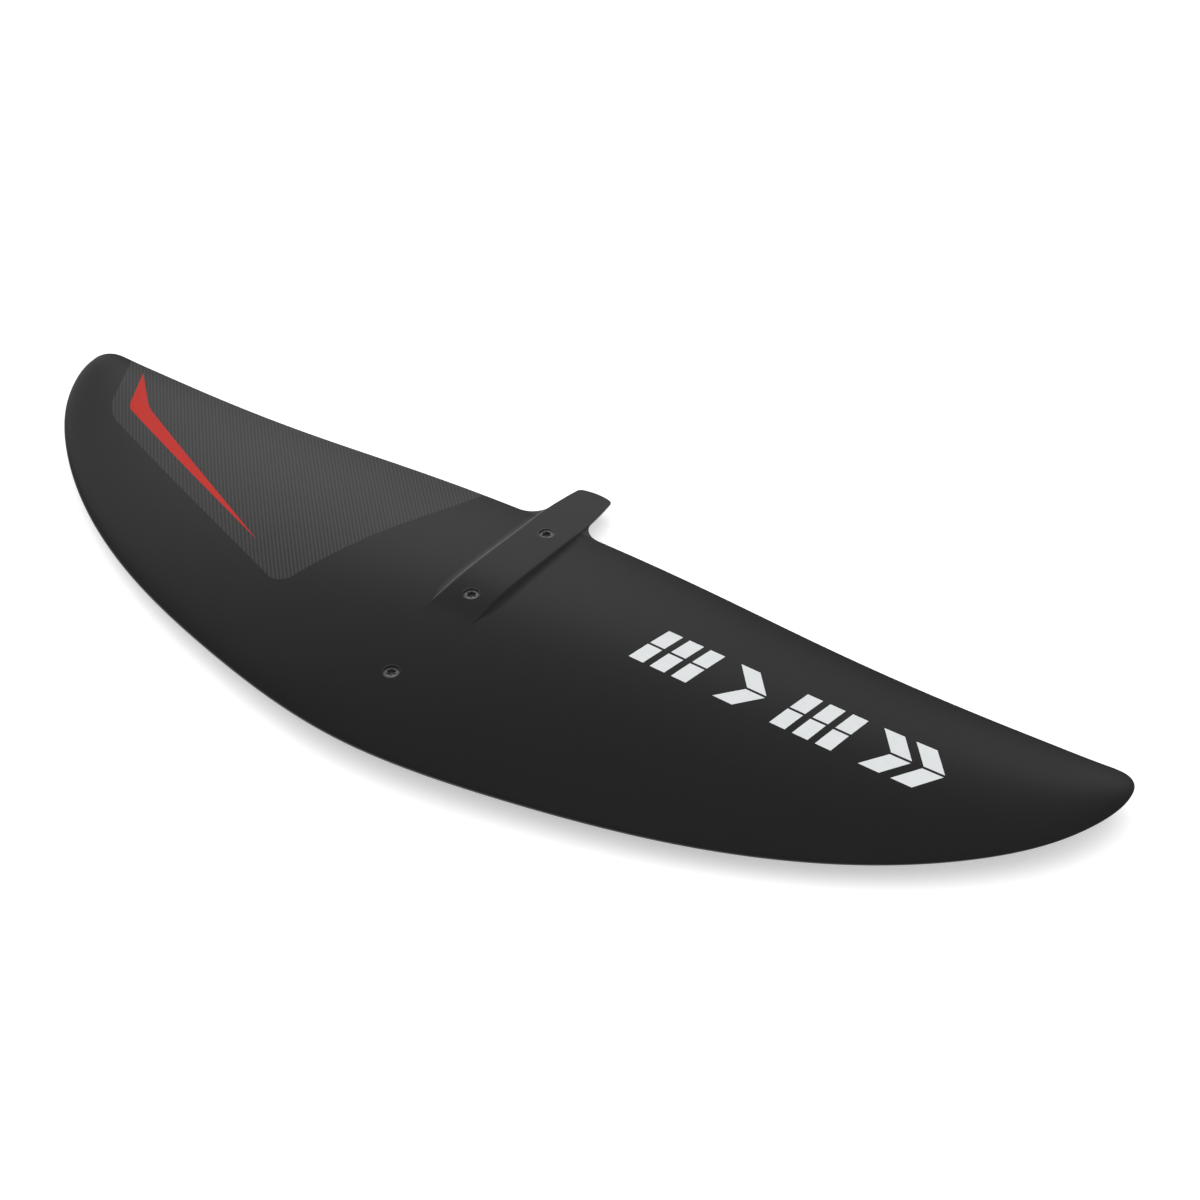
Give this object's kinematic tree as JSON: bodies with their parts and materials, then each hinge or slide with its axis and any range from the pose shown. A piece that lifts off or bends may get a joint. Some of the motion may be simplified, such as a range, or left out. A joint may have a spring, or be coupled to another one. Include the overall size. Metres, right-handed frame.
{
  "type": "hydrofoil front wing",
  "caption": "Slender swept carbon hydrofoil wing with a raised centre ridge and tongue, flat fuselage seat below and countersunk screws through the middle",
  "frame": {"origin": "on the flat fuselage seat, on the axis of the middle screw", "axes": "+X along the span, +Y from leading edge to trailing edge, +Z out of the printed face, away from the fuselage"},
  "size_m": [0.6778, 0.2354, 0.0283],
  "materials": {
    "carbon_skin": "clear-coated carbon laminate, gloss",
    "centre_laminate": "moulded carbon laminate",
    "seat_laminate": "machined flat laminate",
    "twill_ply": "fine woven carbon under clear coat",
    "red_paint": "red paint under clear coat",
    "foam": "closed-cell foam",
    "spar_carbon": "unidirectional carbon",
    "tip_laminate": "filled laminate",
    "white_print": "white print under clear coat",
    "sleeve_metal": "turned stainless sleeve",
    "screw_metal": "dark finished stainless screw"
  },
  "bodies": {
    "wing": {"upper_skin": "carbon_skin", "lower_skin": "carbon_skin", "centre_block": "centre_laminate", "seat_plate": "seat_laminate", "core_front_left": "foam", "core_front_right": "foam", "core_rear_left": "foam", "core_rear_right": "foam", "spar_cap_top_left": "spar_carbon", "spar_cap_top_right": "spar_carbon", "spar_cap_low_left": "spar_carbon", "spar_cap_low_right": "spar_carbon", "shear_web_left": "spar_carbon", "shear_web_right": "spar_carbon", "tip_block_left": "tip_laminate", "tip_block_right": "tip_laminate", "surface_ply": "twill_ply", "colour_accent": "red_paint", "mark_bars_inner": "white_print", "mark_arrow_inner": "white_print", "mark_bars_outer": "white_print", "mark_arrow_outer": "white_print", "sleeve_front": "sleeve_metal", "sleeve_middle": "sleeve_metal", "sleeve_rear": "sleeve_metal"},
    "screw_front": {"screw_front": "screw_metal"},
    "screw_middle": {"screw_middle": "screw_metal"},
    "screw_rear": {"screw_rear": "screw_metal"}
  },
  "joints": [
    {"name": "screw_front_slide", "type": "slide", "parent": "wing", "child": "screw_front", "axis": [0, 0, 1], "range_m": [0, 0.03]},
    {"name": "screw_middle_slide", "type": "slide", "parent": "wing", "child": "screw_middle", "axis": [0, 0, 1], "range_m": [0, 0.03]},
    {"name": "screw_rear_slide", "type": "slide", "parent": "wing", "child": "screw_rear", "axis": [0, 0, 1], "range_m": [0, 0.03]}
  ]
}
